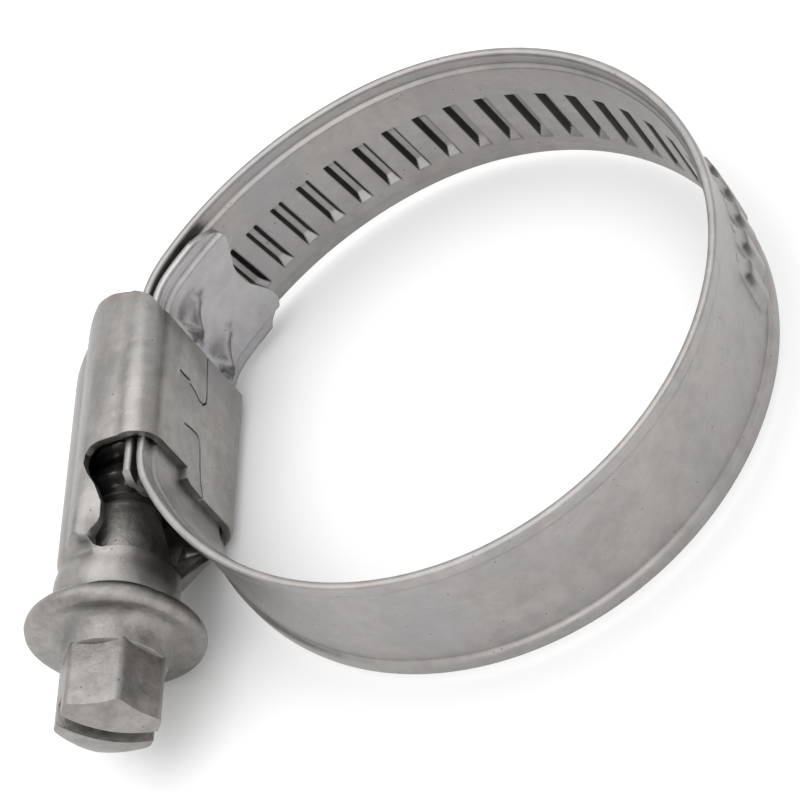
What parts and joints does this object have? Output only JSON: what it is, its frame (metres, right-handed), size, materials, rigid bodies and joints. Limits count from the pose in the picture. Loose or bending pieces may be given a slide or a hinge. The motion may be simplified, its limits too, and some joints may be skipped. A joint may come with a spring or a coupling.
{
  "type": "hose clamp",
  "caption": "Worm-drive hose clamp: an embossed band loop held in a folded housing and drawn in by a slotted hexagon screw with a flange.",
  "frame": {"origin": "centre of the band loop, on its axis, half way across the band", "axes": "+Z along the loop's axis; +X along the screw, from its tip to its head; +Y from the housing to the loop's centre"},
  "size_m": [0.0478, 0.0548, 0.014],
  "materials": {
    "band_steel": "tumbled stainless strip, satin",
    "housing_steel": "tumbled stainless sheet, satin",
    "screw_steel": "forged stainless, slightly rough"
  },
  "bodies": {
    "housing": {"housing_shell": "housing_steel", "band_fixed_end": "band_steel", "band_section_01": "band_steel", "band_section_02": "band_steel", "band_section_03": "band_steel"},
    "screw": {"worm_screw": "screw_steel"},
    "free_end": {"band_free_end": "band_steel"},
    "tongue": {"band_tongue": "band_steel"},
    "link_04": {"band_section_04": "band_steel"},
    "link_05": {"band_section_05": "band_steel"},
    "link_06": {"band_section_06": "band_steel"},
    "link_07": {"band_section_07": "band_steel"},
    "link_08": {"band_section_08": "band_steel"},
    "link_09": {"band_section_09": "band_steel"},
    "link_10": {"band_section_10": "band_steel"},
    "link_11": {"band_section_11": "band_steel"},
    "link_12": {"band_section_12": "band_steel"},
    "link_13": {"band_section_13": "band_steel"},
    "link_14": {"band_section_14": "band_steel"},
    "link_15": {"band_section_15": "band_steel"}
  },
  "joints": [
    {"name": "screw_turn", "type": "hinge", "parent": "housing", "child": "screw", "pos_m": [0, -0.0257, 0], "axis": [-1, 0, 0], "range_deg": [-360, 540]},
    {"name": "band_draw", "type": "slide", "parent": "housing", "child": "free_end", "axis": [1, 0, 0], "range_m": [-0.00258, 0.00386]},
    {"name": "tongue_press", "type": "hinge", "parent": "housing", "child": "tongue", "pos_m": [-0.0062, -0.021, 0], "axis": [0, 0, 1], "range_deg": [-10.82, 7.22]},
    {"name": "flex_04", "type": "hinge", "parent": "housing", "child": "link_04", "pos_m": [0.01888, -0.0109, 0], "axis": [0, 0, 1], "range_deg": [-0.67, 1]},
    {"name": "flex_05", "type": "hinge", "parent": "link_04", "child": "link_05", "pos_m": [0.02178, 0.00082, 0], "axis": [0, 0, 1], "range_deg": [-0.52, 0.77]},
    {"name": "flex_06", "type": "hinge", "parent": "link_05", "child": "link_06", "pos_m": [0.01801, 0.01228, 0], "axis": [0, 0, 1], "range_deg": [-0.66, 0.98]},
    {"name": "flex_07", "type": "hinge", "parent": "link_06", "child": "link_07", "pos_m": [0.00872, 0.01998, 0], "axis": [0, 0, 1], "range_deg": [-0.72, 1.07]},
    {"name": "flex_08", "type": "hinge", "parent": "link_07", "child": "link_08", "pos_m": [-0.00325, 0.02156, 0], "axis": [0, 0, 1], "range_deg": [-0.7, 1.03]},
    {"name": "flex_09", "type": "hinge", "parent": "link_08", "child": "link_09", "pos_m": [-0.01422, 0.01652, 0], "axis": [0, 0, 1], "range_deg": [-0.63, 0.93]},
    {"name": "flex_10", "type": "hinge", "parent": "link_09", "child": "link_10", "pos_m": [-0.02083, 0.00643, 0], "axis": [0, 0, 1], "range_deg": [-0.48, 0.71]},
    {"name": "flex_11", "type": "hinge", "parent": "link_10", "child": "link_11", "pos_m": [-0.02106, -0.00564, 0], "axis": [0, 0, 1], "range_deg": [-0.67, 0.46]},
    {"name": "flex_12", "type": "hinge", "parent": "link_11", "child": "link_12", "pos_m": [-0.01713, -0.01404, 0], "axis": [0, 0, 1], "range_deg": [-0.54, 0.367]},
    {"name": "flex_13", "type": "hinge", "parent": "link_12", "child": "link_13", "pos_m": [-0.01414, -0.01759, 0], "axis": [0, 0, 1], "range_deg": [-3.68, 5.51]},
    {"name": "flex_14", "type": "hinge", "parent": "link_13", "child": "link_14", "pos_m": [-0.01057, -0.02057, 0], "axis": [0, 0, 1], "range_deg": [-4.8, 7.2]},
    {"name": "flex_15", "type": "hinge", "parent": "link_14", "child": "link_15", "pos_m": [-0.006, -0.022, 0], "axis": [0, 0, 1], "range_deg": [-17.88, 11.92]}
  ],
  "couplings": [
    {"joint": "band_draw", "follows": "screw_turn", "m_per_rad": 0.00040903},
    {"joint": "tongue_press", "follows": "screw_turn", "ratio": -0.02},
    {"joint": "flex_04", "follows": "screw_turn", "ratio": 0.001816},
    {"joint": "flex_05", "follows": "screw_turn", "ratio": 0.001396},
    {"joint": "flex_06", "follows": "screw_turn", "ratio": 0.001782},
    {"joint": "flex_07", "follows": "screw_turn", "ratio": 0.001943},
    {"joint": "flex_08", "follows": "screw_turn", "ratio": 0.001877},
    {"joint": "flex_09", "follows": "screw_turn", "ratio": 0.001688},
    {"joint": "flex_10", "follows": "screw_turn", "ratio": 0.001285},
    {"joint": "flex_11", "follows": "screw_turn", "ratio": -0.001212},
    {"joint": "flex_12", "follows": "screw_turn", "ratio": -0.000963},
    {"joint": "flex_13", "follows": "screw_turn", "ratio": 0.010159},
    {"joint": "flex_14", "follows": "screw_turn", "ratio": 0.013293},
    {"joint": "flex_15", "follows": "screw_turn", "ratio": -0.033064}
  ]
}
